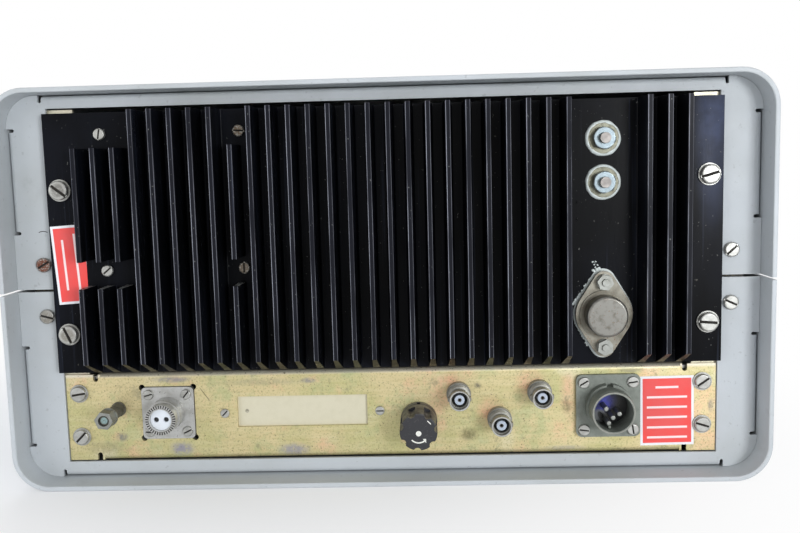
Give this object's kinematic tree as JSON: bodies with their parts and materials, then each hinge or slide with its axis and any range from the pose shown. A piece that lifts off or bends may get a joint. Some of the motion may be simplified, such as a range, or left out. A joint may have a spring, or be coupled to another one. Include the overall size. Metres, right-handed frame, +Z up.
{
  "type": "tabletop radio receiver",
  "caption": "Solid-state table-top communications receiver in a two-shell sheet-metal cabinet, with a finned heat sink and connector panel at the rear.",
  "frame": {"origin": "centre of the bottom of the whole object", "axes": "+X along the width, to the right for someone at the controls; +Y towards the rear with the heat sink; +Z up"},
  "size_m": [0.3556, 0.3438, 0.1886],
  "materials": {
    "cabinet_paint": "fine textured enamel",
    "black_anodised": "black anodised extrusion",
    "chromate_steel": "yellow chromate plating, blotchy",
    "plain_steel": "satin plated screws",
    "nickel": "dull nickel",
    "connector_grey": "olive grey plating",
    "aluminium": "plain sheet",
    "white_insulator": "white moulding",
    "black_moulding": "black moulding",
    "brass": "plain",
    "glass": "clear",
    "cream_plate": "cream anodised plate",
    "red_label": "red foil label with a white border, no text",
    "mica": "mica with white grease",
    "panel_paint": "smooth satin enamel",
    "dial_paint": "printed scale",
    "board": "bare laminate and parts",
    "iron": "varnished laminations",
    "winding": "wrapped winding",
    "speaker_cone": "paper cone in a steel basket",
    "lamp_red": "red jewel"
  },
  "bodies": {
    "cabinet": {"upper_shell": "cabinet_paint", "lower_shell": "cabinet_paint", "upper_rear_frame": "cabinet_paint", "lower_rear_frame": "cabinet_paint", "case_screws": "plain_steel", "left_side_rail": "chromate_steel", "right_side_rail": "chromate_steel", "chassis_deck": "aluminium", "heat_sink": "black_anodised", "heat_sink_screws": "plain_steel", "board_spacers": "brass", "regulator_board": "board", "stud_diodes": "nickel", "diode_nuts": "nickel", "transistor_insulator": "mica", "power_transistor": "nickel", "transistor_screws": "nickel", "rear_panel": "chromate_steel", "rear_panel_screws": "plain_steel", "ground_stud": "nickel", "rear_nuts": "nickel", "socket_backing_plate": "aluminium", "two_pin_shell": "nickel", "two_pin_insert": "white_insulator", "power_inlet_shell": "connector_grey", "power_inlet_insert": "black_moulding", "power_inlet_pins": "nickel", "small_screws": "plain_steel", "coax_jack_bodies": "connector_grey", "coax_jack_insulators": "white_insulator", "coax_jack_contacts": "brass", "fuse_holder": "black_moulding", "blank_plate": "cream_plate", "right_label": "red_label", "left_label": "red_label", "front_panel": "panel_paint", "dial_spindle": "brass", "dial_window": "glass", "control_bodies": "plain_steel", "meter_case": "black_moulding", "meter_glass": "glass", "speaker": "speaker_cone", "speaker_grille": "aluminium", "pilot_lamp": "lamp_red", "phones_jack": "nickel", "transformer_core": "iron", "transformer_winding": "winding", "capacitors": "aluminium", "circuit_board": "board"},
    "tuning": {"tuning_knob": "aluminium", "tuning_shaft": "plain_steel"},
    "dial": {"dial_disc": "dial_paint"},
    "band_selector": {"band_knob": "black_moulding"},
    "mode_selector": {"mode_knob": "black_moulding"},
    "af_gain": {"af_gain_knob": "black_moulding"},
    "rf_gain": {"rf_gain_knob": "black_moulding"},
    "toggle": {"power_toggle": "nickel"},
    "needle": {"meter_needle": "aluminium"},
    "fuse": {"fuse_cartridge": "glass"},
    "fuse_cap": {"fuse_cap": "black_moulding"}
  },
  "joints": [
    {"name": "tuning_turn", "type": "hinge", "parent": "cabinet", "child": "tuning", "pos_m": [0, -0.1471, 0.068], "axis": [0, 1, 0], "range_deg": [-900, 900]},
    {"name": "dial_turn", "type": "hinge", "parent": "cabinet", "child": "dial", "pos_m": [0, -0.1391, 0.114], "axis": [0, 1, 0], "range_deg": [-135, 135]},
    {"name": "band_turn", "type": "hinge", "parent": "cabinet", "child": "band_selector", "pos_m": [0.062, -0.1471, 0.076], "axis": [0, 1, 0], "range_deg": [-60, 60]},
    {"name": "mode_turn", "type": "hinge", "parent": "cabinet", "child": "mode_selector", "pos_m": [0.112, -0.1471, 0.076], "axis": [0, 1, 0], "range_deg": [-60, 60]},
    {"name": "af_gain_turn", "type": "hinge", "parent": "cabinet", "child": "af_gain", "pos_m": [0.062, -0.1471, 0.032], "axis": [0, 1, 0], "range_deg": [-150, 150]},
    {"name": "rf_gain_turn", "type": "hinge", "parent": "cabinet", "child": "rf_gain", "pos_m": [0.112, -0.1471, 0.032], "axis": [0, 1, 0], "range_deg": [-150, 150]},
    {"name": "power_switch", "type": "hinge", "parent": "cabinet", "child": "toggle", "pos_m": [-0.062, -0.1491, 0.032], "axis": [1, 0, 0], "range_deg": [0, 26]},
    {"name": "meter_swing", "type": "hinge", "parent": "cabinet", "child": "needle", "pos_m": [0.104, -0.1371, 0.126], "axis": [0, 1, 0], "range_deg": [0, 76], "stiffness_Nm_per_rad": 0.00002, "springref_deg": -17.19},
    {"name": "fuse_out", "type": "slide", "parent": "cabinet", "child": "fuse", "axis": [0, 1, 0], "range_m": [0, 0.045]},
    {"name": "fuse_cap_turn", "type": "hinge", "parent": "fuse", "child": "fuse_cap", "pos_m": [-0.0147, 0.1545, 0.0278], "axis": [0, 1, 0], "range_deg": [0, 60]}
  ],
  "couplings": [
    {"joint": "dial_turn", "follows": "tuning_turn", "ratio": -0.15}
  ]
}
